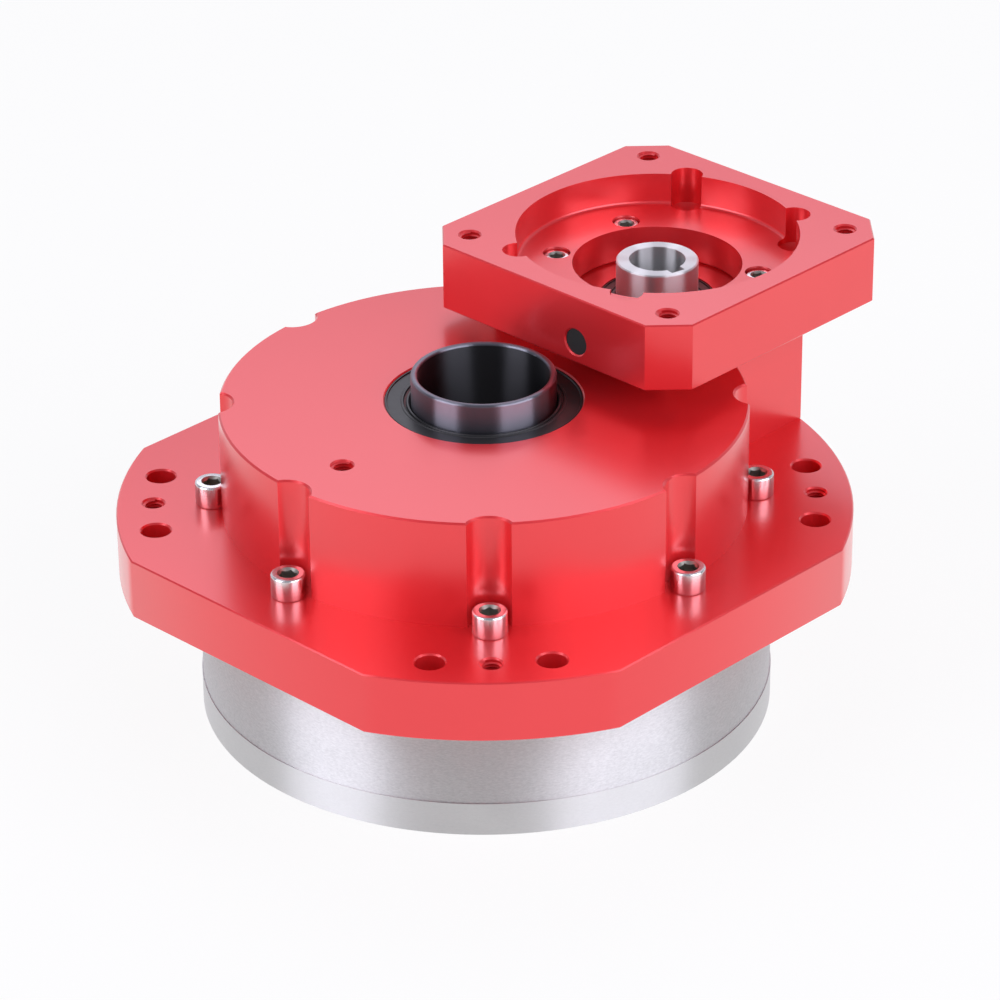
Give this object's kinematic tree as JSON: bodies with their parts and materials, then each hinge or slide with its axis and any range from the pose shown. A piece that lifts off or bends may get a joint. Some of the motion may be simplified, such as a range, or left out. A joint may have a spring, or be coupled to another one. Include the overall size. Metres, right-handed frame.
{
  "type": "cycloidal pin wheel reducer",
  "caption": "Hollow-shaft pin wheel reducer: red flanged housing on a steel case, with an offset square plate that takes a servo motor.",
  "frame": {"origin": "on the main axis, in the plane of the case's end face", "axes": "+Z along the main axis from the output end to the motor side, +X from the main axis towards the motor's axis, +Y completes a right-handed frame"},
  "size_m": [0.288, 0.252, 0.1605],
  "materials": {
    "red_housing": "satin red anodised",
    "case_steel": "fine turned grey",
    "zinc_screw": "bright zinc plated",
    "seal_rubber": "dull dark grey",
    "plug_rubber": "dull black",
    "black_tube": "glossy black",
    "shaft_steel": "ground",
    "carrier_steel": "machined",
    "gear_steel": "ground and hardened",
    "bearing_steel": "polished",
    "cage_brass": "machined",
    "spring_steel": "blackened"
  },
  "bodies": {
    "housing": {"main_housing": "red_housing", "motor_adapter": "red_housing", "input_cover": "red_housing", "access_plug": "plug_rubber", "adapter_screws": "zinc_screw", "housing_screws": "zinc_screw", "pin_case": "case_steel", "ring_pins": "bearing_steel", "lower_outer_ring": "bearing_steel", "upper_outer_ring": "bearing_steel", "main_seal": "seal_rubber", "centre_seal": "seal_rubber", "input_seal": "seal_rubber", "upper_input_bearing": "bearing_steel", "lower_input_bearing": "bearing_steel"},
    "output": {"output_flange": "carrier_steel", "hold_flange": "carrier_steel", "hub_bolts": "spring_steel", "dowel_pins": "bearing_steel", "lower_inner_ring": "bearing_steel", "upper_inner_ring": "bearing_steel", "crank_bearings": "bearing_steel", "crank_bearing_clips": "spring_steel", "centre_tube": "black_tube", "centre_gear_bearings": "bearing_steel", "tube_clips": "spring_steel"},
    "main_cages": {"main_ball_cages": "cage_brass"},
    "centre_gear": {"sun_gear": "gear_steel", "large_gear": "gear_steel", "gear_key": "spring_steel", "large_gear_clip": "spring_steel"},
    "input": {"input_shaft": "shaft_steel"},
    "crank_1": {"crankshaft_1": "gear_steel", "crank_gear_1": "gear_steel", "crank_clip_1": "spring_steel", "needle_cages_1": "cage_brass"},
    "crank_2": {"crankshaft_2": "gear_steel", "crank_gear_2": "gear_steel", "crank_clip_2": "spring_steel", "needle_cages_2": "cage_brass"},
    "crank_3": {"crankshaft_3": "gear_steel", "crank_gear_3": "gear_steel", "crank_clip_3": "spring_steel", "needle_cages_3": "cage_brass"},
    "disc_a": {"cycloid_disc_a": "gear_steel"},
    "disc_b": {"cycloid_disc_b": "gear_steel"}
  },
  "joints": [
    {"name": "output_spin", "type": "hinge", "parent": "housing", "child": "output", "pos_m": [0, 0, 0.037], "axis": [0, 0, 1], "continuous": true},
    {"name": "cage_spin", "type": "hinge", "parent": "housing", "child": "main_cages", "pos_m": [0, 0, 0.037], "axis": [0, 0, 1], "continuous": true},
    {"name": "centre_gear_spin", "type": "hinge", "parent": "housing", "child": "centre_gear", "pos_m": [0, 0, 0.09], "axis": [0, 0, 1], "continuous": true},
    {"name": "input_spin", "type": "hinge", "parent": "housing", "child": "input", "pos_m": [0.097, 0, 0.1], "axis": [0, 0, 1], "continuous": true},
    {"name": "crank_1_spin", "type": "hinge", "parent": "output", "child": "crank_1", "pos_m": [0.027, 0.04677, 0.0369], "axis": [0, 0, 1], "continuous": true},
    {"name": "crank_2_spin", "type": "hinge", "parent": "output", "child": "crank_2", "pos_m": [-0.054, 0, 0.0369], "axis": [0, 0, 1], "continuous": true},
    {"name": "crank_3_spin", "type": "hinge", "parent": "output", "child": "crank_3", "pos_m": [0.027, -0.04677, 0.0369], "axis": [0, 0, 1], "continuous": true},
    {"name": "disc_a_spin", "type": "hinge", "parent": "crank_1", "child": "disc_a", "pos_m": [0.0285, 0.04677, 0.0306], "axis": [0, 0, 1], "continuous": true},
    {"name": "disc_b_spin", "type": "hinge", "parent": "crank_1", "child": "disc_b", "pos_m": [0.0255, 0.04677, 0.0432], "axis": [0, 0, 1], "continuous": true}
  ],
  "couplings": [
    {"joint": "cage_spin", "follows": "output_spin", "ratio": 0.48235},
    {"joint": "centre_gear_spin", "follows": "output_spin", "ratio": 21},
    {"joint": "input_spin", "follows": "output_spin", "ratio": -76},
    {"joint": "crank_1_spin", "follows": "output_spin", "ratio": -40},
    {"joint": "crank_2_spin", "follows": "output_spin", "ratio": -40},
    {"joint": "crank_3_spin", "follows": "output_spin", "ratio": -40},
    {"joint": "disc_a_spin", "follows": "output_spin", "ratio": 40},
    {"joint": "disc_b_spin", "follows": "output_spin", "ratio": 40}
  ]
}
